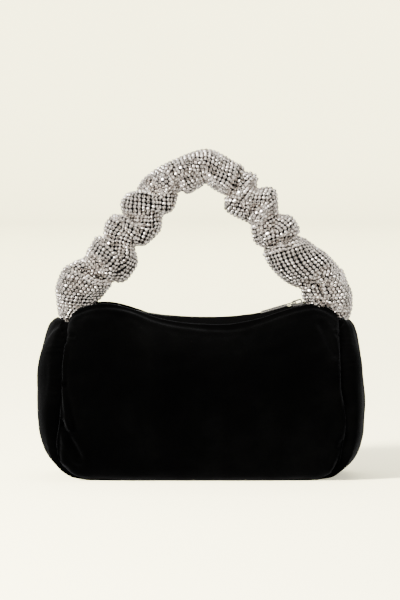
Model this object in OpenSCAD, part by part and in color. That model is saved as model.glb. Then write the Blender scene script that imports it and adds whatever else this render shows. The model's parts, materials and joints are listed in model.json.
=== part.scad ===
// Small velvet evening bag with a zipped mouth and a gathered crystal-mesh handle.
// Units are millimetres. +X runs to the wearer's right of the front face, +Y to the back, +Z up.
// The origin is on the floor, under the centre of the body.

/* [Body] */
// Width across the stuffed side gussets
body_w = 250; // [240:1:260]
// Largest depth, front to back
body_d = 92; // [86:1:96]
// Height of the mouth's lip at its lowest point
lip_z = 117.4; // [116.5:0.1:118]
// Half of the gap between the front and back lips
lip_gap = 13; // [12.5:0.1:13.5]

/* [Layers] */
// Thickness of the velvet with its backing
velvet_t = 1.6; // [1:0.1:2]
// Thickness of the wadding between velvet and lining
wadding_t = 3; // [2:0.5:4]
// Thickness of the lining cloth
lining_t = 0.8; // [0.6:0.1:1]
// Space left between two layers
layer_gap = 0.2; // [0.1:0.05:0.3]
// Thickness of the base board
board_t = 2.4; // [1.5:0.1:3]

/* [Zip] */
// Radius of the dipped line that the zip follows
zip_r = 245; // [243:1:250]
// Height of the zip's lowest point over the lip's
zip_rise = 3.8; // [3.6:0.1:4]
// Distance between two coil turns
coil_pitch = 2; // [1.8:0.1:2.4]
// Length of the slider
slider_l = 10.5; // [10:0.5:11]
// Length of the pull, from its pivot to its tip
pull_l = 28; // [24:1:29]
// Width of the pull
pull_w = 5; // [4.8:0.1:5.1]

/* [Handle] */
// Height of the line about which the handle swings
swing_z = 146; // [145:0.5:147]
// Height of the line about which the top of the handle droops
droop_z = 198; // [196:0.5:200]
// Least wall of the gathered crystal-mesh sleeve
sleeve_t = 2.5; // [2:0.1:3]
// Diameter of the padded cord inside the sleeve
cord_d = 9; // [7:0.5:10]

/* [Hidden] */

// The mouth dips about a line a little right of centre, and its shoulders turn over at the ends.
dip_x = 6;
dip_r = 183;           // the lip's own circle, tighter than the zip's
dip_half = 70;         // and how far it reaches from its middle
shoulder_r = 31;       // the round of each shoulder, up to its crest
crest_r = [34, 24];    // the round past the crest, left and right
side_x = [-102, 108];  // past these the top keeps its height

// The body's outline by height: [share of height, half width, gusset bulge, half depth].
wide = body_w / 2;
deep = body_d / 2;
OUTLINE = [
    [0.00, wide - 35, 3, deep - 14],
    [0.05, wide - 21, 5, deep - 5.5],
    [0.13, wide - 10, 7, deep - 1.5],
    [0.25, wide - 3.5, 10, deep],
    [0.45, wide, 14, deep],
    [0.65, wide - 0.5, 16, deep - 3],
    [0.82, wide - 4.5, 13, deep - 11],
    [0.93, wide - 8.5, 10.5, deep - 23.5],
    [1.00, wide - 15, 5, lip_gap],
];
seam_share = 0.88; // a panel's depth at its side seam, as a share of its fullest depth

wadding_in = velvet_t + layer_gap;
lining_in = wadding_in + wadding_t + layer_gap;
pocket_in = lining_in + lining_t + 0.4;

// The handle's centreline, [x, z, sleeve radius], from the lower end up.
LEFT_LEG = [
    [-93.6, 133.5, 5.5], [-93, 136, 9.3], [-92.2, 139, 12.5], [-91.3, 142.5, 14.8], [-90.3, 146, 16.5],
    [-87.5, 152, 18], [-80, 159, 13], [-72, 165, 18], [-65, 174.5, 18], [-62, 182.5, 11.5], [-56, 188.5, 17],
    [-49, 196.5, 18], [-43.5, 202.5, 15], [-40, 210, 16.5],
];
RIGHT_LEG = [
    [100, 133.5, 5.5], [99.5, 136, 9.3], [99, 139, 12.5], [98, 142.5, 14.8], [97.2, 146, 16.5],
    [94.5, 151.5, 15.5], [87, 157, 17.5], [79, 163, 19], [71, 171, 18.5], [65, 179, 14], [61, 185, 15],
    [56, 192, 15.5], [51, 197, 11.5], [47, 208, 13.5],
];
TOP_ARCH = [
    [-60, 184, 9], [-56, 188.5, 14], [-49, 196.5, 18], [-43.5, 202.5, 15], [-39.6, 211, 19.2],
    [-33.8, 220.5, 16.5],
    [-25, 227, 15.5], [-12, 233.6, 14], [0, 238.6, 12], [8, 238.2, 12], [17, 233, 11.5], [26, 227, 10.5],
    [31, 220, 15.5], [37, 213.5, 13.5], [45, 208.5, 13.5], [50, 197.5, 11.5], [55, 192, 10],
];
cord_gap = 1.2; // between the cord and the folds of the sleeve
leg_knuckle = 18.5; // clears the sleeve where the top of the handle turns on the legs
droop_max = 50;

// The zip's circle, with its centre above the bag.
zip_z = lip_z + zip_rise + zip_r;
coil_lo = -46;    // the opening run of the coil, measured along X from dip_x
coil_hi = 69;
coil_left = -66.5;  // where the run that stays closed begins
tape_lo = -75;
tape_hi = 77.2;
slider_at = asin(70 / zip_r);

// ---------- curves ----------

// Catmull-Rom value between b and c.
function mid(a, b, c, d, t) =
    0.5 * (2 * b + (c - a) * t + (2 * a - 5 * b + 4 * c - d) * t * t + (3 * b - a - 3 * c + d) * t * t * t);

function clamp_row(rows, i) = rows[max(0, min(len(rows) - 1, i))];

// The outline's row at a share of the height.
function outline(v, i = 0) =
    i < len(OUTLINE) - 2 && v > OUTLINE[i + 1][0] ? outline(v, i + 1) :
    let (t = (v - OUTLINE[i][0]) / (OUTLINE[i + 1][0] - OUTLINE[i][0]))
    mid(clamp_row(OUTLINE, i - 1), OUTLINE[i], OUTLINE[i + 1], clamp_row(OUTLINE, i + 2), t);

function dip_rise(u, r) = r - sqrt(r * r - u * u);

// Height of the lip over x: the dip's circle, then a round up to the crest and another down from it.
function lip_height(x) =
    let (
        c = max(side_x[0], min(side_x[1], x)),
        u = abs(c - dip_x),
        slope = asin(dip_half / dip_r),
        crest_u = dip_half + shoulder_r * sin(slope),
        crest_z = dip_rise(dip_half, dip_r) + shoulder_r * (1 - cos(slope)),
        r = u < crest_u ? shoulder_r : crest_r[c < 0 ? 0 : 1]
    )
    lip_z + (u < dip_half ? dip_rise(u, dip_r) : crest_z - r + sqrt(r * r - (u - crest_u) * (u - crest_u)));

// A point of the front (side -1) or back (side 1) panel: p runs from seam to seam, v up the height.
function panel_point(p, v, side) =
    let (
        row = outline(v),
        x = (row[1] - row[2]) * p,
        full = v > 0.99 ? 1 : seam_share + (1 - seam_share) * (1 - pow(abs(p), 4))
    )
    [x, side * row[3] * full, v * lip_height(x)];

// A point of a gusset (side -1 left, 1 right): q runs from the front seam to the back seam.
function gusset_point(q, v, side) =
    let (
        row = outline(v),
        x = side * (row[1] - row[2] + row[2] * pow(cos(90 * q), 0.8)),
        full = v > 0.99 ? 1 : seam_share
    )
    [x, row[3] * full * sin(90 * q), v * lip_height(x)];

function surface_point(kind, side, a, v) = kind == "panel" ? panel_point(a, v, side) : gusset_point(a, v, side);

function unit(w) = w / norm(w);

// The point moved inward along the surface's normal.
function inward(kind, side, a, v, depth) =
    let (
        e = 0.004,
        here = surface_point(kind, side, a, v),
        da = surface_point(kind, side, min(1, a + e), v) - surface_point(kind, side, max(-1, a - e), v),
        dv = surface_point(kind, side, a, min(1, v + e)) - surface_point(kind, side, a, max(0, v - e)),
        n = unit(cross(da, dv)),
        out = kind == "panel" ? side * n[1] : side * n[0]
    )
    here - n * depth * (out < 0 ? -1 : 1);

// ---------- solids from grids of points ----------

// Quads of a grid of rows x columns points, starting at the given index.
function grid_faces(rows, columns, first, flip) = [
    for (i = [0:rows - 2], j = [0:columns - 2])
        let (a = first + i * columns + j, b = a + 1, c = a + columns + 1, d = a + columns)
        each flip ? [[a, c, b], [a, d, c]] : [[a, b, c], [a, c, d]]
];

// Quads between two rings of the same indices' lists.
function band(outer, inner, flip) = [
    for (k = [0:len(outer) - 2])
        each flip ? [[outer[k], outer[k + 1], inner[k + 1]], [outer[k], inner[k + 1], inner[k]]]
                  : [[outer[k], inner[k + 1], outer[k + 1]], [outer[k], inner[k], inner[k + 1]]]
];

// The indices round a grid's border, closed.
function border(rows, columns, first) = [
    for (j = [0:columns - 1]) first + j,
    for (i = [1:rows - 1]) first + i * columns + columns - 1,
    for (j = [columns - 2:-1:0]) first + (rows - 1) * columns + j,
    for (i = [rows - 2:-1:0]) first + i * columns,
];

// The body's surfaces are cut into one net of flat facets each. Every layer follows the same net, so that
// neighbouring layers stay parallel.
panel_rows = 14;
panel_columns = 22;
panel_edge = 0.993;  // each sheet stops just short of the seam line
gusset_rows = 12;
gusset_columns = 8;
gusset_edge = 0.985;

function net_rows(kind) = kind == "panel" ? panel_rows : gusset_rows;
function net_columns(kind) = kind == "panel" ? panel_columns : gusset_columns;

// A corner of the net, i rows up and j columns across, moved inward.
function net_corner(kind, side, i, j, depth) =
    let (edge = kind == "panel" ? panel_edge : gusset_edge)
    inward(kind, side, edge * (2 * j / net_columns(kind) - 1), i / net_rows(kind), depth);

// A point of the net between its corners.
function net_point(kind, side, i, j, depth) =
    let (
        i0 = min(net_rows(kind) - 1, floor(i)), j0 = min(net_columns(kind) - 1, floor(j)),
        a = net_corner(kind, side, i0, j0, depth), b = net_corner(kind, side, i0, j0 + 1, depth),
        c = net_corner(kind, side, i0 + 1, j0, depth), d = net_corner(kind, side, i0 + 1, j0 + 1, depth),
        low = a + (b - a) * (j - j0), high = c + (d - c) * (j - j0)
    )
    low + (high - low) * (i - i0);

// The net's lines from lo to hi, with lo and hi themselves.
function lines(lo, hi) = [lo, for (k = [floor(lo) + 1:ceil(hi) - 1]) k, hi];

// A sheet of one thickness over rows i and columns j of the net. Its outer face lies depth inside the surface.
module layer(kind, side, depth, thick, i_lo, i_hi, j_lo, j_hi) {
    is = lines(i_lo, i_hi);
    js = lines(j_lo, j_hi);
    function face(inset) = [for (i = is, j = js) net_point(kind, side, i, j, inset)];
    rows = len(is);
    columns = len(js);
    count = rows * columns;
    // The winding changes with the side that the sheet is on.
    flip = kind == "panel" ? side > 0 : side < 0;
    polyhedron(
        concat(face(depth), face(depth + thick)),
        concat(
            grid_faces(rows, columns, 0, !flip),
            grid_faces(rows, columns, count, flip),
            band(border(rows, columns, 0), border(rows, columns, count), !flip)
        ),
        convexity = 6
    );
}

// ---------- body ----------

velvet_color = [0.02, 0.02, 0.022];
lining_color = [0.05, 0.05, 0.055];

module velvet_panel(side) {
    color(velvet_color) layer("panel", side, 0, velvet_t, 0, panel_rows, 0, panel_columns);
}

module wadding_panel(side) {
    color("dimgray") layer("panel", side, wadding_in, wadding_t, 0.7, 13.2, 0.7, 21.3);
}

module lining_panel(side) {
    color(lining_color) layer("panel", side, lining_in, lining_t, 1.15, 13.7, 0.8, 21.2);
}

module velvet_gusset(side) {
    color(velvet_color) layer("gusset", side, 0, velvet_t, 0, gusset_rows, 0, gusset_columns);
}

module wadding_gusset(side) {
    color("dimgray") layer("gusset", side, wadding_in, wadding_t, 0.72, 11.1, 1.25, 6.75);
}

module lining_gusset(side) {
    color(lining_color) layer("gusset", side, lining_in, lining_t, 1.1, 11.2, 1.3, 6.7);
}

// A plate with rounded corners, standing on z = 0.
module rounded_plate(length, width, thick, corner) {
    linear_extrude(thick)
        union() {
            square([length - 2 * corner, width], center = true);
            square([length, width - 2 * corner], center = true);
            for (x = [-1, 1], y = [-1, 1])
                translate([x * (length / 2 - corner), y * (width / 2 - corner)]) circle(corner, $fn = 32);
        }
}

base_l = 2 * (OUTLINE[0][1] - OUTLINE[0][2]) - 3;
base_w = 2 * OUTLINE[0][3] * seam_share - 2.5;

module base_panel() {
    color(velvet_color) rounded_plate(base_l, base_w, velvet_t, 8);
}

module base_board() {
    color("tan") translate([0, 0, velvet_t + layer_gap]) rounded_plate(base_l - 6, base_w - 6, board_t, 7);
}

module base_lining() {
    color(lining_color)
        translate([0, 0, velvet_t + board_t + 2 * layer_gap]) rounded_plate(base_l - 4, base_w - 2, lining_t, 7);
}

module slip_pocket() {
    color(lining_color) layer("panel", 1, pocket_in, lining_t, 4.2, 10.6, 5.5, 16.5);
}

// ---------- zip ----------

// Puts children on the zip's line at an angle from its lowest point: +X along it, +Z up from it.
module on_zip(angle) {
    translate([dip_x, 0, zip_z]) rotate([0, -angle, 0]) translate([0, 0, -zip_r]) children();
}

function zip_angle(u) = asin(u / zip_r);

tape_t = 0.6;
tape_in = 1;             // the tape's inner edge, from the middle
tape_flat = 5;           // it is flat out to here, then slopes down to the lip
tape_out = lip_gap - 1.3;
tape_steps = 30;

// A tape's point across (0 inner edge, 1 end of the flat, 2 at the lip), drop below its upper face.
function tape_point(u, across, side, drop) =
    let (x = dip_x + u, top = zip_z - sqrt(zip_r * zip_r - u * u) - 0.1)
    across < 2 ? [x, side * (across == 0 ? tape_in : tape_flat), top - drop]
               : [x, side * tape_out, min(top, lip_height(x) + 0.3) - drop];

module tape(side) {
    function face(drop) = [
        for (i = [0:tape_steps], across = [0:2])
            tape_point(tape_lo + (tape_hi - tape_lo) * i / tape_steps, across, side, drop)
    ];
    count = 3 * (tape_steps + 1);
    color([0.03, 0.03, 0.033])
        polyhedron(
            concat(face(0), face(tape_t)),
            concat(
                grid_faces(tape_steps + 1, 3, 0, side < 0),
                grid_faces(tape_steps + 1, 3, count, side > 0),
                band(border(tape_steps + 1, 3, 0), border(tape_steps + 1, 3, count), side < 0)
            ),
            convexity = 4
        );
}

coil_h = 1.15;
coil_over = 0.7; // how far a turn reaches past the middle
coil_out = 3.1;
coil_w = 0.95;

// One row of coil turns, from u_lo to u_hi.
module coil_row(side, u_lo, u_hi) {
    step = coil_pitch / zip_r * 180 / PI;
    first = zip_angle(u_lo) + (side > 0 ? step / 2 : 0);
    for (a = [first:step:zip_angle(u_hi)])
        on_zip(a)
            translate([-coil_w / 2, side > 0 ? -coil_over : -coil_out, -0.08])
                cube([coil_w, coil_out + coil_over, coil_h]);
}

module coil(side) {
    color([0.04, 0.04, 0.045]) coil_row(side, coil_lo, coil_hi);
}

module closed_coil() {
    color([0.04, 0.04, 0.045]) {
        coil_row(-1, coil_left, coil_lo - 2.4);
        coil_row(1, coil_left, coil_lo - 2.6);
    }
}

module top_stops() {
    color("silver")
        for (side = [-1, 1])
            on_zip(zip_angle(76.2)) translate([-0.8, side > 0 ? 1.1 : -3, -0.08]) cube([1.6, 1.9, 1.4]);
}

module bottom_stop() {
    color("silver") on_zip(zip_angle(-68.4)) translate([-1.3, -3, -0.08]) cube([2.6, 6, 1.5]);
}

// A velvet tab that closes the slot between the lips past one end of the tape.
module end_tab(x_tape, x_handle) {
    steps = 6;
    below = 0.8;
    half = lip_gap - velvet_t - 0.8;
    xs = [for (k = [0:steps]) x_tape + (x_handle - x_tape) * k / steps];
    color(velvet_color)
        translate([0, half, 0])
            rotate([90, 0, 0])
                linear_extrude(2 * half)
                    polygon(concat(
                        [for (k = [0:steps]) [xs[k], lip_height(xs[k]) - below]],
                        [for (k = [steps:-1:0]) [xs[k], lip_height(xs[k]) - below - velvet_t]]
                    ));
}

plate_w = 8.8;
plate_t = 1.1;
top_plate_z = 1.5;
bottom_plate_z = -2.2;
crown_w = 1.7;
crown_l = 8;
crown_z = top_plate_z + plate_t - 0.1;
crown_h = 3.1;
crown_bar = 1.2;
pivot_x = -1;
pivot_z = crown_z + 1.25;

// The arch on the slider that the pull hangs from.
module crown() {
    translate([0, crown_w / 2, 0])
        rotate([90, 0, 0])
            linear_extrude(crown_w)
                difference() {
                    union() {
                        translate([-crown_l / 2, crown_z]) square([crown_l, crown_h - 1.6]);
                        translate([-crown_l / 2 + 1.6, crown_z]) square([crown_l - 3.2, crown_h]);
                        for (s = [-1, 1]) translate([s * (crown_l / 2 - 1.6), crown_z + crown_h - 1.6]) circle(1.6, $fn = 32);
                    }
                    translate([-crown_l / 2 + crown_bar, crown_z + 0.1])
                        square([crown_l - 2 * crown_bar, crown_h - crown_bar - 0.1]);
                }
}

module slider_body() {
    color("silver")
        on_zip(slider_at) {
            translate([0, 0, top_plate_z]) rounded_plate(slider_l, plate_w, plate_t, 2);
            translate([0, 0, bottom_plate_z]) rounded_plate(slider_l, plate_w, plate_t, 2);
            for (s = [-1, 1])
                translate([-3.6, s > 0 ? plate_w / 2 - 0.9 : -plate_w / 2, 0.15]) cube([7.2, 0.9, top_plate_z]);
            translate([3.9, -0.6, bottom_plate_z + 0.1]) cube([1, 1.2, top_plate_z - bottom_plate_z]);
            crown();
        }
}

pull_t = 1.2;
pull_lift = 2.5;  // the pull's tip stands a little off the coil
pull_roll = 12;   // and its near edge lies lower
window_l = 7.5;   // the open end that goes over the crown
arm_w = 0.95;

module pull_tab() {
    color("silver")
        on_zip(slider_at)
            translate([pivot_x, 0, pivot_z])
                rotate([0, pull_lift, 0])
                    rotate([pull_roll, 0, 0]) {
                        rotate([90, 0, 0]) cylinder(h = pull_w, r = 0.4, center = true, $fn = 24);
                        for (s = [-1, 1])
                            translate([-window_l - 0.1, s > 0 ? pull_w / 2 - arm_w : -pull_w / 2, -0.5])
                                cube([window_l + 0.1, arm_w, 1]);
                        translate([-pull_l, -pull_w / 2, -pull_t / 2]) cube([pull_l - window_l, pull_w, pull_t]);
                    }
}

// ---------- handle ----------

function path_point(path, s, k) =
    let (i = min(len(path) - 2, floor(s)))
    mid(clamp_row(path, i - 1), path[i], path[i + 1], clamp_row(path, i + 2), s - i)[k];

// A ring of points about the path at step s, with its radius less by inset and no more than most.
function ring(path, s, sides, inset, most) =
    let (
        e = 0.05,
        here = [path_point(path, s, 0), path_point(path, s, 1)],
        along = unit([
            path_point(path, min(len(path) - 1, s + e), 0) - path_point(path, max(0, s - e), 0),
            path_point(path, min(len(path) - 1, s + e), 1) - path_point(path, max(0, s - e), 1),
        ]),
        r = min(most, path_point(path, s, 2) - inset)
    )
    [for (k = [0:sides - 1])
        let (a = 360 * k / sides)
        [here[0] - along[1] * r * cos(a), r * sin(a), here[1] + along[0] * r * cos(a)]];

function ring_faces(rings, sides, first, flip) = [
    for (i = [0:rings - 2], k = [0:sides - 1])
        let (a = first + i * sides + k, b = first + i * sides + (k + 1) % sides, c = b + sides, d = a + sides)
        each flip ? [[a, c, b], [a, d, c]] : [[a, b, c], [a, c, d]]
];

// The sleeve bunched up round the cord, swept along the path.
module sleeve(path, sides, per_point) {
    rings = (len(path) - 1) * per_point + 1;
    count = rings * sides;
    outer = [for (i = [0:rings - 1]) each ring(path, i / per_point, sides, 0, reach)];
    inner = [for (i = [0:rings - 1]) each ring(path, i / per_point, sides, sleeve_t, cord_d / 2 + cord_gap)];
    function hoop(start) = [for (k = [0:sides]) start + k % sides];
    polyhedron(
        concat(outer, inner),
        concat(
            ring_faces(rings, sides, 0, false),
            ring_faces(rings, sides, count, true),
            band(hoop(0), hoop(count), false),
            band(hoop(count - sides), hoop(2 * count - sides), true)
        ),
        convexity = 6
    );
}

// A plain cord along the part of a path from step s_lo to s_hi.
module cord(path, s_lo, s_hi, rings, sides) {
    points = [for (i = [0:rings - 1]) each ring(path, s_lo + (s_hi - s_lo) * i / (rings - 1), sides, 0, cord_d / 2)];
    last = (rings - 1) * sides;
    polyhedron(
        points,
        concat(
            ring_faces(rings, sides, 0, false),
            [[for (k = [sides - 1:-1:0]) k]],
            [[for (k = [0:sides - 1]) last + k]]
        ),
        convexity = 4
    );
}

reach = 300;

// Everything that the top of the handle sweeps as it droops, grown by a gap.
module droop_sweep(gap) {
    r = leg_knuckle + gap;
    translate([0, 0, droop_z]) {
        rotate([0, 90, 0]) cylinder(h = reach, r = r, center = true, $fn = 64);
        for (a = [-droop_max, 0, droop_max])
            rotate([a, 0, 0]) translate([-reach / 2, -r, 0]) cube([reach, 2 * r, 120]);
    }
}

// What belongs to the top of the handle where it meets the legs.
module droop_keep() {
    translate([0, 0, droop_z]) {
        rotate([0, 90, 0]) cylinder(h = reach, r = leg_knuckle, center = true, $fn = 64);
        translate([-reach / 2, -leg_knuckle, 0]) cube([reach, 2 * leg_knuckle, 120]);
    }
}

module leg_sleeve(path) {
    color("gainsboro") difference() {
        sleeve(path, 14, 2);
        droop_sweep(0.4);
    }
}

module top_sleeve() {
    color("gainsboro") intersection() {
        sleeve(TOP_ARCH, 14, 2);
        droop_keep();
    }
}

module leg_cord(path) {
    color("black") difference() {
        cord(path, 3, 9.6, 14, 10);
        droop_sweep(0.8);
    }
}

module top_cord() {
    color("black") intersection() {
        cord(TOP_ARCH, 0.8, 11.6, 26, 10);
        droop_keep();
    }
}

// The gathered end of the sleeve, tucked between the lips and the gusset.
module sleeve_end(x_lo, x_hi) {
    end_lo = 119;
    end_hi = 131.5;
    color("gainsboro")
        translate([x_lo, 0, end_lo])
            multmatrix([[1, 0, (x_hi - x_lo) / (end_hi - end_lo), 0], [0, 1, 0, 0], [0, 0, 1, 0]])
                rotate_extrude($fn = 48)
                    polygon([[0, 0], [3.4, 0], [5, end_hi - end_lo], [0, end_hi - end_lo]]);
}

// The webbing tongue that is sewn into the gusset's top and takes the load.
module anchor(x) {
    color(lining_color) translate([x - 0.7, -5, 92]) cube([1.4, 10, 26.6]);
}

velvet_panel(-1);  // front_panel
velvet_panel(1);  // back_panel
velvet_gusset(-1);  // left_gusset
velvet_gusset(1);  // right_gusset
base_panel();
wadding_panel(-1);  // front_wadding
wadding_panel(1);  // back_wadding
wadding_gusset(-1);  // left_wadding
wadding_gusset(1);  // right_wadding
base_board();
lining_panel(-1);  // front_lining
lining_panel(1);  // back_lining
lining_gusset(-1);  // left_lining
lining_gusset(1);  // right_lining
base_lining();
slip_pocket();
tape(-1);  // front_tape
tape(1);  // back_tape
coil(-1);  // front_coil
coil(1);  // back_coil
closed_coil();
top_stops();
bottom_stop();
end_tab(-72, -90);  // left_end_tab
end_tab(85.5, 91.5);  // right_end_tab
slider_body();
pull_tab();
anchor(-100);  // left_anchor
anchor(101);  // right_anchor
sleeve_end(-99.5, -96);  // left_sleeve_end
sleeve_end(100.5, 100);  // right_sleeve_end
leg_sleeve(LEFT_LEG);  // left_sleeve
leg_sleeve(RIGHT_LEG);  // right_sleeve
top_sleeve();
leg_cord(LEFT_LEG);  // left_cord
leg_cord(RIGHT_LEG);  // right_cord
top_cord();
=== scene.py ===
"""Velvet evening bag with a gathered crystal-mesh handle: the looks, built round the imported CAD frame.

Lengths inside the script are millimetres in the CAD's frame; build() turns them into metres.
"""

import json
import math

import bpy
import numpy as np
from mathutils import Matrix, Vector


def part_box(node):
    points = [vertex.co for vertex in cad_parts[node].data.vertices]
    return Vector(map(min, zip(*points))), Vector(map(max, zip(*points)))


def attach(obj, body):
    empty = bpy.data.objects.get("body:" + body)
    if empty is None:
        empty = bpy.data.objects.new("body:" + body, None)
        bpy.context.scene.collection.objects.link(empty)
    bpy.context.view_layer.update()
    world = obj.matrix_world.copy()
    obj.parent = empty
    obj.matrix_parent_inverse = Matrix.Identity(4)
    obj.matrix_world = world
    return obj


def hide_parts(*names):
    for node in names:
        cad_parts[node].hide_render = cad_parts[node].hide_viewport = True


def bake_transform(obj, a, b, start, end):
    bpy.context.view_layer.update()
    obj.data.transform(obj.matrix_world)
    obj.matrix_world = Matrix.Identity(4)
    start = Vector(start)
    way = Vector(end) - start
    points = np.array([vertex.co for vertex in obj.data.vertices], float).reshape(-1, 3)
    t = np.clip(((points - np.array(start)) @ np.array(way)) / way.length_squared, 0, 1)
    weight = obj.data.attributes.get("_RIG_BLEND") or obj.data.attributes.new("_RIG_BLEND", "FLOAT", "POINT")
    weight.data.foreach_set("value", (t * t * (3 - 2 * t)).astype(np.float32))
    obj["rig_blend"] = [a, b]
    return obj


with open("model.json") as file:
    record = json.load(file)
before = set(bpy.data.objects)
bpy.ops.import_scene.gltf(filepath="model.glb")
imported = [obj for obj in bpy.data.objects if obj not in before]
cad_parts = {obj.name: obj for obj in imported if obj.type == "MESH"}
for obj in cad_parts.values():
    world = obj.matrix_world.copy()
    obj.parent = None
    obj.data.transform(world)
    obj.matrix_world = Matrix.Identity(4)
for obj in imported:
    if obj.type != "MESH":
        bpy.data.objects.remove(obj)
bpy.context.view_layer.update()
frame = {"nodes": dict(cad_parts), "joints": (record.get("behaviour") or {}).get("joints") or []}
joints = {j["name"]: j for j in frame["joints"]}


def box_mm(node):
    lo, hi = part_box(node)
    return np.array(lo) * 1000, np.array(hi) * 1000


# ---- sizes from the frame

LIP_Y = 13.0  # half of the gap between the lips
ZIP_X, _, ZIP_CENTRE_Z = np.array(joints["slider_travel"]["pos_m"]) * 1000
ZIP_R = ZIP_CENTRE_Z - (box_mm("front_coil")[0][2] + 0.08)
MOUTH_U = (-47.0, 74.0)  # the run that opens, along X from ZIP_X
CLOSED_U = -66.5  # where the run that stays closed begins
TAPE_U = (-75.0, 77.2)  # the tape's two ends
COIL_PITCH = 2.0
FILAMENT = 0.34  # radius of the coil's wire
SWING_Z = joints["handle_swing"]["pos_m"][2] * 1000
DROOP_Z = joints["handle_droop"]["pos_m"][2] * 1000
STONE_PITCH = 3.3  # the net's, along the handle
ROUND_PITCH = 3.45  # and round it
NET_COLUMNS = 31  # knots round the handle
CORE_R = 5.0  # how near the net comes to the handle's middle line
RELAX_ROUNDS = 260
CORD_R = 4.2
CORD_RUN = (0.07, 0.93)  # the share of the handle that the cord fills
VELVET_THICK, LINING_THICK, TAPE_THICK, WEBBING_THICK = 1.5, 0.6, 0.5, 1.1
# The handle's two bends: the bodies on both sides, and the heights over which it bends.
LEG_BEND = ("bag", "handle_lower", SWING_Z - 21, SWING_Z + 15)
TOP_BEND = ("handle_lower", "handle_upper", DROOP_Z - 22, DROOP_Z + 22)
SPLIT_Z = (LEG_BEND[3] + TOP_BEND[2]) / 2  # the legs' pieces end here


# ---- curves and noise

def xyz(*parts):
    """Points from their coordinates, given one by one."""
    return np.stack(np.broadcast_arrays(*parts), axis=-1)


def unit(v):
    return v / np.maximum(np.linalg.norm(v, axis=-1, keepdims=True), 1e-9)


def curve(points, x):
    """Smooth values through given points [(x, value, ...), ...], held beyond the ends."""
    p = np.array(points, float)
    xs, ys = p[:, 0], p[:, 1:]
    slopes = np.gradient(ys, xs, axis=0)
    x = np.clip(np.asarray(x, float), xs[0], xs[-1])
    i = np.clip(np.searchsorted(xs, x, side="right") - 1, 0, len(xs) - 2)
    h = xs[i + 1] - xs[i]
    t = ((x - xs[i]) / h)[..., None]
    h = h[..., None]
    out = (
        ys[i] * (2 * t**3 - 3 * t**2 + 1)
        + slopes[i] * h * (t**3 - 2 * t**2 + t)
        + ys[i + 1] * (3 * t**2 - 2 * t**3)
        + slopes[i + 1] * h * (t**3 - t**2)
    )
    return out[..., 0] if out.shape[-1] == 1 else out


def ease(a, b, x):
    t = np.clip((np.asarray(x, float) - a) / (b - a), 0, 1)
    return t * t * (3 - 2 * t)


def ripple(seed, scale, *coords, waves=14):
    """Smooth noise of about -1 to 1, of the given feature size in mm."""
    rng = np.random.default_rng(seed)
    total = 0
    for _ in range(waves):
        k = rng.normal(size=len(coords))
        k *= 2 * np.pi / (scale * rng.uniform(0.8, 1.8)) / np.linalg.norm(k)
        total = total + np.sin(sum(c * w for c, w in zip(coords, k)) + rng.uniform(0, 2 * np.pi))
    return total / math.sqrt(waves)


# ---- meshes

def build(name, verts, faces, material, smooth=True):
    """A mesh object from points in mm."""
    me = bpy.data.meshes.new(name)
    me.from_pydata((np.asarray(verts, float) / 1000).tolist(), [], faces)
    me.polygons.foreach_set("use_smooth", [smooth] * len(me.polygons))
    me.validate()
    ob = bpy.data.objects.new(name, me)
    bpy.context.scene.collection.objects.link(ob)
    for m in material if isinstance(material, list) else [material]:
        me.materials.append(m)
    return ob


def grid_faces(rows, columns, start=0, flip=False, wrap=False):
    faces = []
    for i in range(rows - 1):
        for j in range(columns if wrap else columns - 1):
            a = start + i * columns + j
            b = start + i * columns + (j + 1) % columns
            quad = (a, b, b + columns, a + columns)
            faces.append(quad[::-1] if flip else quad)
    return faces


def rim_faces(rows, columns):
    """Quads that join the edge of one grid to the edge of its copy, whose points come next."""
    rim = (
        list(range(columns))
        + [i * columns + columns - 1 for i in range(1, rows)]
        + [(rows - 1) * columns + j for j in range(columns - 2, -1, -1)]
        + [i * columns for i in range(rows - 2, 0, -1)]
    )
    count = rows * columns
    return [(b, a, a + count, b + count) for a, b in zip(rim, rim[1:] + rim[:1])]


def normals_of(p, wrap=False):
    """Unit normals of a grid of points."""
    du = np.gradient(p, axis=0)
    if wrap:
        dv = (np.roll(p, -1, axis=1) - np.roll(p, 1, axis=1)) / 2
    else:
        dv = np.gradient(p, axis=1)
    return unit(np.cross(dv, du))


def facing(p, outward):
    """Unit normals of a grid of points on outward's side, and whether they had to be turned."""
    n = normals_of(p)
    turned = np.mean(n @ outward) < 0
    return (-n if turned else n), turned


def inset(p, outward, depth):
    """The grid of points this deep behind p, away from outward."""
    return p - facing(p, outward)[0] * depth


def cloth(name, p, thick, material, outward):
    """A sheet of one thickness. Its face is the grid p, and its back lies thick behind it, away from outward."""
    rows, columns, _ = p.shape
    n, flip = facing(p, outward)
    back = p - n * thick
    faces = grid_faces(rows, columns, 0, flip) + grid_faces(rows, columns, rows * columns, not flip)
    faces += [quad[::-1] if flip else quad for quad in rim_faces(rows, columns)]
    return build(name, np.concatenate([p.reshape(-1, 3), back.reshape(-1, 3)]), faces, material)


def tube(name, points, radius, material, sides):
    """A round rod along points in mm, with flat ends."""
    p = np.asarray(points, float)
    along = unit(np.gradient(p, axis=0))
    side = np.cross(along, [0.0, 0.0, 1.0])
    weak = np.linalg.norm(side, axis=1) < 0.2
    side[weak] = np.cross(along[weak], [0.0, 1.0, 0.0])
    side = unit(side)
    up = np.cross(side, along)
    a = np.linspace(0, 2 * np.pi, sides, endpoint=False)
    r = np.broadcast_to(np.asarray(radius, float), (len(p),))[:, None, None]
    ring = p[:, None] + r * (side[:, None] * np.cos(a)[None, :, None] + up[:, None] * np.sin(a)[None, :, None])
    faces = grid_faces(len(p), sides, wrap=True)
    faces += [tuple(range(sides))[::-1], tuple((len(p) - 1) * sides + k for k in range(sides))]
    return build(name, ring.reshape(-1, 3), faces, material)


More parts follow.
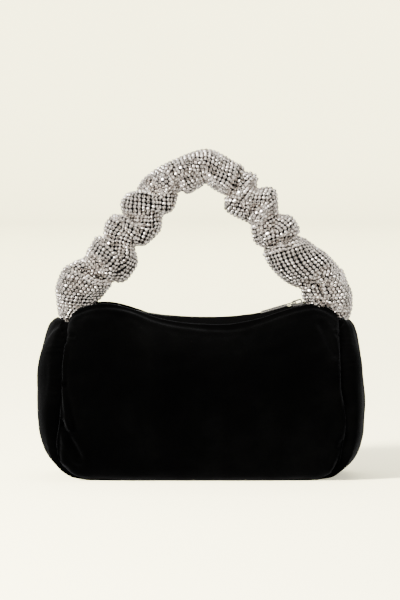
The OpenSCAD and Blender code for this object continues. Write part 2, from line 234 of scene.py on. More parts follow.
def join(name, objects):
    """One object from several, keeping the first's materials."""
    with bpy.context.temp_override(
        active_object=objects[0], selected_objects=objects, selected_editable_objects=objects
    ):
        bpy.ops.object.join()
    objects[0].name = name
    return objects[0]


# ---- materials

class Nodes:
    """A Principled material and short ways to add nodes to it."""

    def __init__(self, name, **values):
        self.material = bpy.data.materials.new(name)
        self.material.use_nodes = True
        self.tree = self.material.node_tree
        self.shader = self.tree.nodes["Principled BSDF"]
        for key, value in values.items():
            self.shader.inputs[key.replace("_", " ")].default_value = value
        self.coords = self.tree.nodes.new("ShaderNodeTexCoord").outputs["Object"]

    def add(self, kind, out=0, **inputs):
        node = self.tree.nodes.new("ShaderNode" + kind)
        for key, value in inputs.items():
            if key in ("operation", "wave_type", "bands_direction", "attribute_name"):
                setattr(node, key, value)
                continue
            socket = node.inputs[int(key[1:])] if key[0] == "_" else node.inputs[key.replace("_", " ")]
            if isinstance(value, bpy.types.NodeSocket):
                self.tree.links.new(value, socket)
            else:
                socket.default_value = value
        return node.outputs[out]

    def link(self, socket, name):
        self.tree.links.new(socket, self.shader.inputs[name.replace("_", " ")])

    def ramp(self, value, *stops):
        node = self.tree.nodes.new("ShaderNodeValToRGB")
        self.tree.links.new(value, node.inputs[0])
        while len(node.color_ramp.elements) < len(stops):
            node.color_ramp.elements.new(0.5)
        for element, (at, colour) in zip(node.color_ramp.elements, stops):
            element.position, element.color = at, (*colour, 1)
        return node.outputs[0]

    def bump(self, height, strength, distance):
        node = self.tree.nodes.new("ShaderNodeBump")
        node.inputs["Strength"].default_value = strength
        node.inputs["Distance"].default_value = distance
        self.tree.links.new(height, node.inputs["Height"])
        self.tree.links.new(node.outputs[0], self.shader.inputs["Normal"])


def velvet():
    """Near-black pile: a dull base under a faint cool sheen, with random patches of painted sheen from the brushed nap
    in its base colour, a brushed bump and fine fibre bump.
    """
    m = Nodes("velvet", Roughness=1.0, Specular_IOR_Level=0.02, Sheen_Weight=0.085, Sheen_Roughness=0.38,
              Sheen_Tint=(0.90, 0.92, 0.98, 1))
    # Random patches of the brushed nap, lighter where their sheen is painted into the base colour.
    nap_sheen_paint = m.add("TexNoise", Vector=m.coords, Scale=17.0, Detail=4.0, Roughness=0.62)
    m.link(m.ramp(nap_sheen_paint, (0.36, (0.0005, 0.0005, 0.0005)), (0.52, (0.0010, 0.0010, 0.00095)),
                  (0.7, (0.0024, 0.0024, 0.0023))), "Base Color")
    fibre = m.add("TexNoise", Vector=m.coords, Scale=2600.0, Detail=1.0)
    stretched = m.add("VectorMath", operation="MULTIPLY", _0=m.coords, _1=(1.0, 1.0, 0.3))
    brushed = m.add("TexNoise", Vector=stretched, Scale=70.0, Detail=2.0, Roughness=0.4)
    height = m.add("Math", operation="ADD", _0=m.add("Math", operation="MULTIPLY", _0=brushed, _1=6.0), _1=fibre)
    m.bump(height, 0.35, 0.0005)
    return m.material


def weave(name, dark, light, threads, roughness, sheen=0.05, gloss=0.3):
    """Cloth with crossing threads, this many to the metre."""
    m = Nodes(name, Roughness=roughness, Specular_IOR_Level=gloss, Sheen_Weight=sheen)
    warp, weft = (
        m.add("TexWave", out=1, Vector=m.coords, Scale=threads / 6.3, wave_type="BANDS", bands_direction=d)
        for d in ("DIAGONAL", "Z")
    )
    height = m.add("Math", operation="MULTIPLY", _0=warp, _1=weft)
    tone = m.add("TexNoise", Vector=m.coords, Scale=70.0, Detail=3.0)
    m.link(m.ramp(m.add("Math", operation="MULTIPLY", _0=height, _1=tone), (0.0, dark), (0.5, light)), "Base Color")
    m.bump(height, 0.5, 0.0002)
    return m.material


def metal(name, colour, roughness):
    """Plated metal with faint wear in its gloss."""
    m = Nodes(name, Metallic=1.0, Base_Color=(*colour, 1))
    wear = m.add("TexNoise", Vector=m.coords, Scale=420.0, Detail=4.0)
    m.link(m.ramp(wear, (0.3, (roughness * 0.7,) * 3), (0.75, (roughness * 1.6,) * 3)), "Roughness")
    return m.material


def crystal():
    """Foil-backed faceted stones shaded as metal: every face of a stone has a random brightness, a painted glint held
    in a face attribute of the mesh.
    """
    m = Nodes("crystal", Metallic=1.0, Roughness=0.13)
    painted_glint = m.add("Attribute", out=2, attribute_name="painted_glint")
    m.link(m.ramp(painted_glint, (0.0, (0.24, 0.22, 0.205)), (0.18, (0.62, 0.565, 0.52)), (0.45, (0.98, 0.915, 0.85)),
                  (1.0, (0.96, 0.905, 0.85))), "Base Color")
    return m.material


def board():
    m = Nodes("greyboard", Roughness=0.9, Specular_IOR_Level=0.2)
    fibre = m.add("TexNoise", Vector=m.coords, Scale=300.0, Detail=6.0)
    m.link(m.ramp(fibre, (0.3, (0.22, 0.18, 0.14)), (0.7, (0.36, 0.30, 0.24))), "Base Color")
    m.bump(fibre, 0.3, 0.0002)
    return m.material


def nylon():
    m = Nodes("nylon", Roughness=0.35, Specular_IOR_Level=0.5)
    tone = m.add("TexNoise", Vector=m.coords, Scale=900.0, Detail=2.0)
    m.link(m.ramp(tone, (0.3, (0.004, 0.004, 0.0042)), (0.7, (0.010, 0.010, 0.010))), "Base Color")
    return m.material


VELVET = velvet()
LINING = weave("lining_twill", (0.004, 0.004, 0.005), (0.03, 0.03, 0.034), 2600.0, 0.6, 0.1)
TAPE = weave("zip_tape", (0.0012, 0.0012, 0.0013), (0.006, 0.006, 0.006), 1700.0, 0.9, 0.0, 0.06)
NET = weave("handle_backing", (0.004, 0.004, 0.004), (0.02, 0.02, 0.02), 1500.0, 0.85)
THREAD = weave("thread", (0.008, 0.008, 0.009), (0.03, 0.03, 0.032), 5000.0, 0.6)
SILVER = metal("silver_plate", (0.40, 0.39, 0.37), 0.2)
# A darker copy of the silver for the pull's sunk panel: a painted dark reflection.
REFLECTION_DARK_SILVER = metal("silver_painted_reflection", (0.085, 0.08, 0.075), 0.24)
CUP = metal("stone_cup", (0.84, 0.775, 0.715), 0.30)
CRYSTAL = crystal()
BOARD = board()
NYLON = nylon()


# ---- the body's surface

# Height of the lip by x.
LIP = [(-106, 117), (-103, 120.3), (-98, 125.6), (-93, 129), (-88, 131.4), (-82, 133.1), (-75, 133.8), (-68, 133.5),
       (-61, 132.2), (-54, 130.2), (-46, 127.6), (-38, 124.6), (-27, 121.4), (-15, 119.4), (0, 118.1), (12, 117.7),
       (23, 118.1), (34.5, 119.9), (47.6, 123), (61, 127.5), (77, 132), (88, 133.7), (94, 132.2), (99, 129.6),
       (104, 126.3), (110, 121.5), (113, 118)]
# Half depth by share of height.
DEPTH = [(0, 31), (0.02, 35.5), (0.06, 40.5), (0.12, 44), (0.22, 46), (0.45, 46), (0.62, 44.3), (0.74, 40.5),
         (0.84, 34), (0.91, 26.5), (0.96, 19), (0.985, 15), (1, 13)]
# The side seams' x by share of height.
SEAM_L = [(0, -84), (0.03, -96), (0.08, -104.5), (0.14, -110.5), (0.22, -112), (0.35, -110.4), (0.5, -108.8),
          (0.63, -108), (0.83, -106.6), (0.94, -104), (1, -102.8)]
SEAM_R = [(0, 88), (0.03, 98), (0.08, 105.2), (0.14, 109.5), (0.2, 111.4), (0.28, 113), (0.4, 113), (0.5, 112.2),
          (0.6, 110.4), (0.7, 109.4), (0.84, 109.6), (1, 109)]
# Each gusset's outermost line by share of height: (share, x, z).
SIDE_L = [(0, -90, 0), (0.02, -97.5, 1.6), (0.05, -103.5, 5.4), (0.1, -111.8, 12), (0.15, -117.4, 18), (0.25, -123, 31),
          (0.35, -124.8, 43), (0.5, -126.4, 61), (0.6, -126.4, 73), (0.75, -124.6, 91), (0.85, -122.2, 103),
          (0.92, -118.8, 112), (0.96, -115, 118.8), (0.985, -110, 122.8), (1, -104.2, 122.2)]
SIDE_R = [(0, 94, 0), (0.02, 102, 1.7), (0.05, 109, 5.5), (0.1, 117, 12), (0.15, 121.4, 18), (0.25, 125.6, 31),
          (0.35, 126.4, 43), (0.5, 128, 61), (0.6, 127.5, 73), (0.75, 125.6, 91), (0.85, 123.4, 103),
          (0.92, 121, 112), (0.96, 118.4, 118.4), (0.985, 114, 121.8), (1, 108.6, 121.2)]
SEAM_SHARE = 0.87  # a panel's depth at its side seam, as a share of its depth in the middle
# Creases of the front (-1) and back (1) panel: (from, to, width, depth) with from and to as (x, z).
# A negative depth stands up as a ridge.
PANEL_CREASES = {
    -1: [
        ((-103.5, 103), (-106, 76), 2.1, -1.7), ((-106, 76), (-99.5, 42), 2.0, -2.5),
        ((-106, 46), (-109, 19), 2.4, 1.9), ((-105.5, 45), (-92, 20), 2.4, 2.6),
        ((-104.5, 111.5), (-97, 110.8), 1.5, 1.1), ((104, 111.5), (110, 111), 1.5, 1.1),
        ((92, 119), (103, 97), 2.6, 1.2), ((110, 31), (104, 8), 2.8, 1.6), ((107, 29), (98, 17), 2.4, 0.7),
        ((-60, 100), (-38, 88), 6, 0.6), ((40, 92), (66, 104), 6, 0.6), ((-40, 12), (-8, 15), 4, 0.5),
    ],
    1: [
        ((100, 44), (112, 18), 2.6, 1.1), ((-104, 60), (-92, 38), 3.2, 1.0),
        ((-20, 100), (30, 96), 6, 0.7), ((50, 22), (86, 16), 4, 0.8),
    ],
}


def seam_share(v):
    return SEAM_SHARE + (1 - SEAM_SHARE) * ease(0.86, 1.0, v)


def panel_surface(side, p, v):
    """The front (side -1) or back (1) panel: p runs from the left seam to the right, v up the height."""
    w = (p + 1) / 2
    x_top = (1 - w) * SEAM_L[-1][1] + w * SEAM_R[-1][1]
    x = (1 - w) * curve(SEAM_L, v) + w * curve(SEAM_R, v)
    z = v * curve(LIP, x_top)
    share = seam_share(v)
    y = side * curve(DEPTH, v) * (share + (1 - share) * (1 - np.abs(p) ** 3.2))
    return xyz(x, y, z)


def gusset_surface(side, q, v):
    """The left (side -1) or right (1) gusset: q runs from the front seam to the back seam."""
    seam = panel_surface(-1, np.full_like(v, float(side)), v)
    outer = curve(SIDE_L if side < 0 else SIDE_R, v)
    swell = np.maximum(np.cos(np.pi / 2 * q), 0) ** 0.72
    x = seam[..., 0] + (outer[..., 0] - seam[..., 0]) * swell
    z = seam[..., 2] + (outer[..., 1] - seam[..., 2]) * swell
    y = np.abs(seam[..., 1]) * np.sin(np.pi / 2 * q)
    return xyz(x, y, z)


def to_seam(s, v, side_x, side_y, edge, reach, depth):
    """Draws a sheet's last few millimetres in to the seam, which lies depth inside the corner between two sheets."""
    inside = np.array([-side_x * 0.75, -side_y * 0.66, 0.0])
    share = np.exp(-((np.maximum(edge, 0) / reach) ** 1.35)) * ease(0, 0.04, v)
    depth = depth * (1 + 0.3 * ripple(int(93 + side_x + 3 * side_y), 30, s[..., 2]))
    return s + inside * (depth * share)[..., None]


def crease(p, a, b, width, depth):
    """A soft groove of the given depth along the line from a to b (x, z), with a low ridge at each side."""
    a, b = np.array(a, float), np.array(b, float)
    d = b - a
    xz = p[..., [0, 2]]
    t = np.clip(((xz - a) @ d) / (d @ d), 0, 1)
    off = xz - (a + t[..., None] * d)
    r = np.linalg.norm(off, axis=-1) / width
    return -depth * np.exp(-r**2) + 0.45 * depth * np.exp(-((r - 1.9) ** 2))


def shaped_panel(side, rows, columns):
    """The finished outer face of a panel: puckered at its seams, creased and softly uneven."""
    p_line = np.linspace(-1, 1, columns)
    p_line = np.sign(p_line) * (1 - (1 - np.abs(p_line)) ** 1.15)  # columns lie closer near the seams
    P, V = np.meshgrid(p_line, np.linspace(0, 1, rows))
    s = panel_surface(side, P, V)
    n = normals_of(s)
    n *= np.where(n[..., 1:2] * side < 0, -1, 1)
    x, z = s[..., 0], s[..., 2]
    edge = 109 * (1 - np.abs(P))  # mm in from the nearer seam
    free = ease(0, 6, edge) * ease(1.0, 0.97, V)
    seed = 11 if side < 0 else 23
    h = 0.9 * np.exp(-((edge - 7) / 5) ** 2) * ease(0, 0.1, V)  # the edge stands up beside its seam
    pucker = np.sin(2 * np.pi * z / (8.5 + 2.0 * ripple(seed, 60, z)) + 2 * np.sign(P))
    h += 0.5 * pucker * np.exp(-edge / 7.0) * ease(1.0, 0.93, V)
    h += 0.95 * ripple(seed + 1, 62, x, z) * free * ease(0, 30, edge)
    h += 0.32 * ripple(seed + 2, 22, x, z * 1.6) * free
    h += 0.5 * ripple(seed + 3, 17, x) * np.exp(-((V - 0.93) / 0.035) ** 2)  # the mouth's slight gathering
    below = z[-1:] - z  # a groove and then a ridge run just below the lip
    h += (0.6 * np.exp(-(((below - 4.4) / 1.6) ** 2)) - 0.5 * np.exp(-(((below - 1.9) / 1.3) ** 2))) * ease(0, 14, edge)
    for start, end, width, depth in PANEL_CREASES[side]:
        h += crease(s, start, end, width, depth)
    h *= ease(0, 1.5, edge)
    s = s + n * (h * ease(0, 0.05, V))[..., None]
    for x_side in (-1, 1):
        s = to_seam(s, V, x_side, side, np.where(P * x_side > 0, edge, 99), 3.4, 3.6)
    s[..., 2] = np.maximum(s[..., 2], 0.05)
    # The hem: the velvet rolls over the lip and runs down inside.
    lip = s[-1]
    inward = np.array([0, -side, 0.0])
    up = np.array([0, 0, 1.0])
    hem = [lip + inward * a + up * b for a, b in ((0.7, 0.75), (1.7, 0.85), (2.6, 0.2), (3.0, -1.5), (3.1, -7.5))]
    return np.concatenate([s, np.stack(hem)])


def shaped_gusset(side, rows, columns):
    q_line = np.linspace(-1, 1, columns)
    q_line = np.sign(q_line) * (1 - (1 - np.abs(q_line)) ** 1.25)
    Q, V = np.meshgrid(q_line, np.linspace(0, 1, rows))
    s = gusset_surface(side, Q, V)
    n = normals_of(s)
    n *= np.where(n[..., 0:1] * side < 0, -1, 1)
    y, z = s[..., 1], s[..., 2]
    edge = 42 * (1 - np.abs(Q))
    seed = 31 if side < 0 else 43
    h = 0.7 * np.exp(-((edge - 6) / 4) ** 2)
    pucker = np.sin(2 * np.pi * z / (8.0 + 1.8 * ripple(seed, 55, z)))
    h += 0.55 * pucker * np.exp(-edge / 8.0)
    h += 0.9 * ripple(seed + 1, 40, y, z) * ease(0, 14, edge) * ease(1, 0.95, V)
    h += 0.9 * np.sin(y / 4.1 + ripple(seed + 2, 30, y, z)) * np.exp(-((V - 0.95) / 0.05) ** 2) * ease(0, 8, edge)
    h += 0.7 * np.sin(y / 5.3 + 1) * np.exp(-((V - 0.07) / 0.05) ** 2) * ease(0, 8, edge)
    h *= ease(0, 1.5, edge)
    s = s + n * (h * ease(0, 0.04, V))[..., None]
    for y_side in (-1, 1):
        s = to_seam(s, V, side, y_side, np.where(Q * y_side > 0, edge, 99), 3.0, 3.6)
    s[..., 2] = np.maximum(s[..., 2], 0.05)
    return s


# ---- velvet shell and lining


def on_bag(ob, slot, *nodes):
    """Fixes a piece to the bag's body in the place of these nodes."""
    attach(ob, "bag")
    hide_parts(*nodes)


def make_shell():
    for name, wall, s, outward in (
        ("front", "front_panel", shaped_panel(-1, 110, 190), [0, -1, 0.2]),
        ("back", "back_panel", shaped_panel(1, 110, 190), [0, 1, 0.2]),
        ("left_gusset", "left_gusset", shaped_gusset(-1, 110, 80), [-1, 0, 0.1]),
        ("right_gusset", "right_gusset", shaped_gusset(1, 110, 80), [1, 0, 0.1]),
    ):
        ob = cloth(f"{name}_velvet", s, VELVET_THICK, VELVET, outward)
        on_bag(ob, "velvet", wall, name.split("_")[0] + "_wadding")


def make_base():
    """The base panel and the lining over the board: rounded rectangles, a little uneven."""
    for name, node, top, grow, thick, material, slot, held in (
        ("base_velvet", "base_panel", 0.0, 4.0, VELVET_THICK, VELVET, "velvet", "stretched"),
        ("base_lining_cloth", "base_lining", box_mm("base_lining")[1][2], 0.5, 0.7, LINING, "lining", "laid"),
    ):
        lo, hi = box_mm(node)
        half = (hi[:2] - lo[:2]) / 2 + grow
        a, b = np.meshgrid(np.linspace(-1, 1, 40), np.linspace(-1, 1, 120))
        # A square mapped on to a rounded rectangle.
        x = half[0] * b * (1 - 0.035 * a**6 * np.abs(b) ** 14)
        y = half[1] * a * (1 - 0.08 * b**10 * np.abs(a) ** 6)
        if top > 0:
            z = top + 0.25 * ripple(6, 30, x, y)
        else:
            lift = 0.075 * (1 + ripple(5, 25, x, y)) * ease(0.9, 1, np.maximum(np.abs(a), np.abs(b)))
            z = np.maximum(lift, 0.03)
        p = xyz(x, y, z)
        ob = cloth(name, p, thick, material, [0, 0, 1 if top > 0 else -1])
        on_bag(ob, slot, node)


def hang(name, s, outward, node):
    """A lining cloth on the grid s, hung from its upper edge."""
    ob = cloth(name, s, LINING_THICK, LINING, outward)
    on_bag(ob, "lining", node)


def make_lining():
    """Loose twill lining inside each wall, hanging from the hems, and the slip pocket on the back."""
    for side, name in ((-1, "front"), (1, "back")):
        P, V = np.meshgrid(np.linspace(-0.93, 0.93, 90), np.linspace(0.075, 0.965, 60))
        s = inset(panel_surface(side, P, V), [0, side, 0.2], 5.6)
        wave = 0.7 * ripple(51 + side, 24, s[..., 0], s[..., 2] * 0.5) * ease(0.97, 0.8, V)
        s[..., 1] -= side * (wave + 0.5)
        hang(f"{name}_lining_cloth", s, [0, -side, 0], f"{name}_lining")
    for side, name in ((-1, "left"), (1, "right")):
        Q, V = np.meshgrid(np.linspace(-0.7, 0.7, 50), np.linspace(0.09, 0.93, 60))
        s = inset(gusset_surface(side, Q, V), [side, 0, 0.1], 5.6)
        s[..., 0] -= side * (0.6 * ripple(61 + side, 20, s[..., 1], s[..., 2] * 0.5) + 0.4)
        hang(f"{name}_lining_cloth", s, [-side, 0, 0], f"{name}_lining")
    P, V = np.meshgrid(np.linspace(-0.5, 0.5, 60), np.linspace(0.3, 0.76, 40))
    s = inset(panel_surface(1, P, V), [0, 1, 0.2], 8.6)
    gape = 2.2 * ease(0.45, 0.76, V) * (1 - (P / 0.5) ** 2)
    s[..., 1] -= gape + 0.3 * ripple(71, 18, s[..., 0], s[..., 2])
    hang("slip_pocket_cloth", s, [0, -1, 0], "slip_pocket")


def make_end_tabs():
    """Velvet tucked across the slot between the lips past each end of the tape."""
    for name in ("left_end_tab", "right_end_tab"):
        lo, hi = box_mm(name)
        X, Y = np.meshgrid(np.linspace(lo[0], hi[0], 40), np.linspace(-LIP_Y + 2, LIP_Y - 2, 40))
        z = curve(LIP, X) - 0.4 - 2.2 * (np.abs(Y) / LIP_Y) ** 3 + 0.35 * ripple(81, 9, X, Y)
        z -= 3.2 * ease(0.55, 1, np.abs(X - (lo[0] if lo[0] > 0 else hi[0])) / (hi[0] - lo[0]))
        p = xyz(X, Y, z)
        ob = cloth(name + "_velvet", p, 1.4, VELVET, [0, 0, 1])
        on_bag(ob, "velvet", name)


# ---- zip

def on_zip(u, y, up):
    """A point by its distance along X from the zip's middle, across it, and up from its line."""
    a = np.arcsin(u / ZIP_R)
    r = ZIP_R - np.asarray(up, float)
    return xyz(ZIP_X + r * np.sin(a), y, ZIP_CENTRE_Z - r * np.cos(a))


def open_share(u):
    """How far a point of the mouth's edge follows the opening: none at the run's two ends, all of it between."""
    return ease(MOUTH_U[0], MOUTH_U[0] + 14, u) * ease(MOUTH_U[1], MOUTH_U[1] - 14, u)


def follow_mouth(ob, body, start=(0, 0, 0), end=(0, 0, 0.001)):
    """Blends a piece on to the mouth's edge, as far as each of its points follows the opening."""
    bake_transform(ob, "bag", body, start=start, end=end)
    attribute = ob.data.attributes["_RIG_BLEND"]
    w = np.zeros(len(ob.data.vertices), np.float32)
    attribute.data.foreach_get("value", w)
    x = np.array([v.co[0] for v in ob.data.vertices], float) * 1000
    attribute.data.foreach_set("value", (w * open_share(x - ZIP_X)).astype(np.float32))


def coil_path(side, u_lo, u_hi):
    """A flattened helix whose heads reach just past the middle."""
    turns = round((u_hi - u_lo) / COIL_PITCH)
    t = np.linspace(0, turns, turns * 14 + 1)
    a = 2 * np.pi * t
    middle, reach = 1.25, 1.85
    y = middle + reach * np.sign(np.cos(a)) * np.abs(np.cos(a)) ** 0.8
    up = 0.5 + 0.36 * np.sign(np.sin(a)) * np.abs(np.sin(a)) ** 0.7
    u = u_lo + COIL_PITCH * t + 0.18 * np.sin(2 * a)
    return on_zip(u, side * y, up)


def make_zip():
    for side, name in ((-1, "front"), (1, "back")):
        body = f"mouth_{name}"
        U, S = np.meshgrid(np.linspace(*TAPE_U, 150), np.linspace(0, 1, 26), indexing="ij")
        x = ZIP_X + U
        inner_y, outer_y = 0.9, LIP_Y - 2.7  # the tape's two long edges
        inner = on_zip(U, side * inner_y, -0.12)
        lip_z = curve(LIP, x) - 0.9
        y = inner_y + (outer_y - inner_y) * S
        drop = ease(0.3, 1.0, S)
        z = inner[..., 2] * (1 - drop) + np.minimum(lip_z, inner[..., 2] + 1.2) * drop
        # The stuffed lips press the tape into a low roll at each side of the coil, clear of the slider.
        roll = curve([(-76, 0), (-52, 1.2), (-30, 3.0), (0, 4.0), (30, 3.7), (50, 2.8), (66, 1.8), (75, 0)], U)
        roll_y, roll_width = 6.9, 1.35
        roll = roll * np.exp(-(((y - roll_y) / roll_width) ** 2))
        p = xyz(inner[..., 0], side * y, z + roll + 0.12 * ripple(91, 8, x, y) * drop)
        tape = cloth(f"{name}_tape_cloth", p, TAPE_THICK, TAPE, [0, 0, 1])
        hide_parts(f"{name}_tape")
        follow_mouth(tape, body, start=(0, side * (LIP_Y - 3.5) / 1000, 0), end=(0, side * 0.0025, 0))

        offset = 0 if side < 0 else COIL_PITCH / 2
        coil = tube(f"{name}_coil_wire", coil_path(side, CLOSED_U + offset, 69.5), FILAMENT, NYLON, 6)
        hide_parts(f"{name}_coil", *(["closed_coil"] if side < 0 else []))
        follow_mouth(coil, body)

        stitches = []
        stitch_pitch, stitch_length, stitch_y = 2.6, 1.9, 3.6
        for u in np.arange(TAPE_U[0] + 1, TAPE_U[1] - 1, stitch_pitch):
            path = on_zip(np.linspace(u, u + stitch_length, 4), side * stitch_y, [0.02, 0.28, 0.28, 0.02])
            stitches.append(tube("stitch", path, 0.22, THREAD, 5))
        row = join(f"{name}_coil_stitches", stitches)
        follow_mouth(row, body)


def finish_node(name, material, round_mm):
    """Gives a CAD node its material and rounds its edges."""
    ob = frame["nodes"][name]
    ob.data.materials.clear()
    ob.data.materials.append(material)
    m = ob.modifiers.new("bevel", "BEVEL")
    m.width, m.segments, m.limit_method, m.angle_limit = round_mm / 1000, 3, "ANGLE", math.radians(35)
    m.harden_normals = False


def make_pull():
    """The pull: a framed bar with a grooved sunk panel, and an open neck whose pin hangs in the slider's crown."""
    px, _, pz = np.array(joints["pull_swing"]["pos_m"]) * 1000
    slope = math.asin(70.0 / ZIP_R)  # the slider's tilt on the zip's line
    lift, roll, yaw = math.radians(0.5), math.radians(13.0), math.radians(4.0)
    length, width, thick, neck, rim = 28.0, 5.0, 1.2, 7.5, 0.75

    def place(p):
        """From the pull's own axes, pin at the origin and bar along -X, to the frame."""
        p = np.array(p, float)
        for angle, i, j in ((roll, 1, 2), (yaw, 0, 1), (lift - slope, 2, 0)):
            turn = complex(math.cos(angle), math.sin(angle)) * (p[:, i] + 1j * p[:, j])
            p[:, i], p[:, j] = turn.real, turn.imag
        return p + [px, 0, pz]

    # The bar: rows along it, with a cross-section that has a rim and a sunk, grooved middle.
    xs = np.linspace(-length, -neck, 180)
    side = width / 2
    ys = np.concatenate([[-side], np.linspace(-side + 0.12, -side + rim, 6),
                         np.linspace(-side + rim + 0.15, side - rim - 0.15, 22),
                         np.linspace(side - rim, side - 0.12, 6), [side]])
    X, Y = np.meshgrid(xs, ys, indexing="ij")
    corner = 1.0
    near_end = np.maximum(0, np.abs(X - (-length - neck) / 2) - (length - neck) / 2 + corner)
    half = side - corner + np.sqrt(np.maximum(corner**2 - near_end**2, 0))
    Y = Y * half / side
    sunk = ease(rim, rim + 0.25, half - np.abs(Y)) * ease(rim, rim + 0.25, np.minimum(X + length, -neck - X))
    grooves = 0.13 * (0.5 + 0.5 * np.cos(2 * np.pi * (X + 0.45 * np.abs(Y)) / 1.3))
    edge = 0.25 * ease(0.3, 0, half - np.abs(Y))
    top = thick / 2 - edge - sunk * (0.28 - grooves)
    points = np.stack([xyz(X, Y, top), xyz(X, Y, -top)]).reshape(-1, 3)
    rows, columns = X.shape
    faces = grid_faces(rows, columns, 0, True) + grid_faces(rows, columns, rows * columns, False)
    painted_reflection_field = (0.5 * (sunk[1:, 1:] + sunk[:-1, :-1]) > 0.6).ravel()  # the sunk panel takes the darker silver, a painted dark reflection
    faces += [(a, b, b_back, a_back) for b, a, a_back, b_back in rim_faces(rows, columns)]
    bar = build("pull_bar", place(points), faces, [SILVER, REFLECTION_DARK_SILVER])
    bar.data.polygons.foreach_set("material_index", list(map(int, painted_reflection_field)) * 2 + [0] * (len(faces) - 2 * len(painted_reflection_field)))
    # The neck: one round-cornered wire loop from the bar over the pin.
    r, y = 0.48, side - 0.5
    half_loop = [(-neck - 0.4, -y), (-neck * 0.5, -y), (-1.0, -y), (-0.25, -y + 0.35), (0, -y + 1.0)]
    loop = half_loop + [(0, 0)] + [(x, -y) for x, y in half_loop[::-1]]
    x, y = curve([(i, *at) for i, at in enumerate(loop)], np.linspace(0, len(loop) - 1, 70)).T
    radius = r - 0.1 * ease(1.6, 1.0, np.abs(y))  # thinner where it is the pin
    pull = join("pull_plate", [bar, tube("pull_neck", place(xyz(x, y, 0)), radius, SILVER, 12)])
    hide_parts("pull_tab")
    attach(pull, "pull")


def make_hardware():
    finish_node("slider_body", SILVER, 0.22)
    finish_node("top_stops", SILVER, 0.25)
    finish_node("bottom_stop", SILVER, 0.3)
    finish_node("base_board", BOARD, 0.3)
    make_pull()


# ---- handle

# Rings of the sleeve from the left end over the top to the right end:
# (x, z on the outer side, x, z on the inner side, half depth). Shallow rings are the gathers between the puffs.
RINGS = [
    (-103.5, 112, -99, 111.5, 3.2), (-105, 118, -97.5, 119, 5), (-108, 126.5, -91, 128.5, 8.5),
    (-109.5, 137, -80, 136, 13), (-110.5, 147.5, -71, 145, 17), (-104.5, 161, -69, 149, 17.5),
    (-88.5, 168.5, -67.5, 152, 12.5), (-86, 176, -57, 152, 17.5), (-81, 184, -48.5, 164, 18),
    (-73.5, 186, -51, 178, 12.5), (-72.5, 194.5, -41, 181, 16.5), (-67.5, 201, -31, 190, 17),
    (-59, 201.5, -29, 202, 14), (-60.5, 211, -20, 208, 16.5), (-56, 217.5, -17, 218, 16.5),
    (-50, 219, -17, 222.5, 14.5), (-43.5, 228.5, -13, 221.5, 14.5), (-33, 237, -7.5, 220.5, 14),
    (-19.5, 243.8, -2, 223.5, 13), (-2.5, 250.3, 4, 227.5, 12), (9.5, 251, 6.5, 226.5, 12), (21, 245, 12, 222.5, 12),
    (31.5, 238.5, 20, 218.5, 11.5), (33.5, 235, 21.5, 217.5, 11), (41.5, 232.5, 20, 208, 14.5),
    (42.5, 226, 26.5, 202.5, 13.5), (44, 222, 38.5, 197, 11.5), (57, 221.5, 40.5, 195.5, 14),
    (60, 203, 41, 189.5, 12), (70, 200.5, 42.5, 183, 14.5), (76, 191, 47, 179, 14.5), (75, 186, 51, 177, 12.5),
    (87.5, 179, 49.5, 170, 17), (97.5, 173, 55, 160, 18.5), (104.5, 166, 64.5, 151.5, 18),
    (110, 158.5, 75, 148, 15.5), (113, 150, 81, 150.5, 14), (116.5, 142.5, 78.5, 141.5, 16), (117, 135, 83, 134, 14),
    (115.5, 127.5, 93, 127, 9.5), (112.5, 120, 101.5, 119, 5.5), (108.5, 113, 103.5, 112, 3.2),
]


# The deep creases between the puffs on the front, as runs of (x, z).
CREASES = [
    [(-96, 161), (-84, 158), (-74, 152.6)], [(-77, 186), (-64, 176), (-61.4, 166), (-64, 153)],
    [(-62, 201), (-61.4, 192.5), (-52, 184), (-48, 179.5)], [(-59, 204), (-47, 196), (-45.5, 186)],
    [(-41, 231), (-34, 219), (-29, 209), (-29.7, 201)], [(-20.5, 238), (-19, 227.6), (-15, 220)],
    [(29, 234), (21.5, 217)], [(56, 215), (42.5, 209.5), (36, 200)], [(76, 191), (64.8, 185.5), (51, 177)],
    [(100, 163), (92, 157.5), (80, 148)], [(88, 152), (91.4, 142.7), (99, 132)],
]


def ring_frame(t):
    """Centre, half-width vector and half depth of the sleeve at t (0 to 1 along RINGS)."""
    r = curve([(i / (len(RINGS) - 1), *ring) for i, ring in enumerate(RINGS)], t)
    centre = xyz((r[..., 0] + r[..., 2]) / 2, 0, (r[..., 1] + r[..., 3]) / 2)
    across = xyz((r[..., 0] - r[..., 2]) / 2, 0, (r[..., 1] - r[..., 3]) / 2)
    return centre, across, r[..., 4]


def sleeve_surface(t, a):
    """A point of the sleeve's outline surface: a is the angle round it, 0 outside and -pi/2 in front."""
    centre, across, depth = ring_frame(t)
    c, s = np.cos(a), np.sin(a)
    p = centre + across * c[..., None]
    p[..., 1] += depth * np.sign(s) * np.abs(s) ** 0.92
    return p


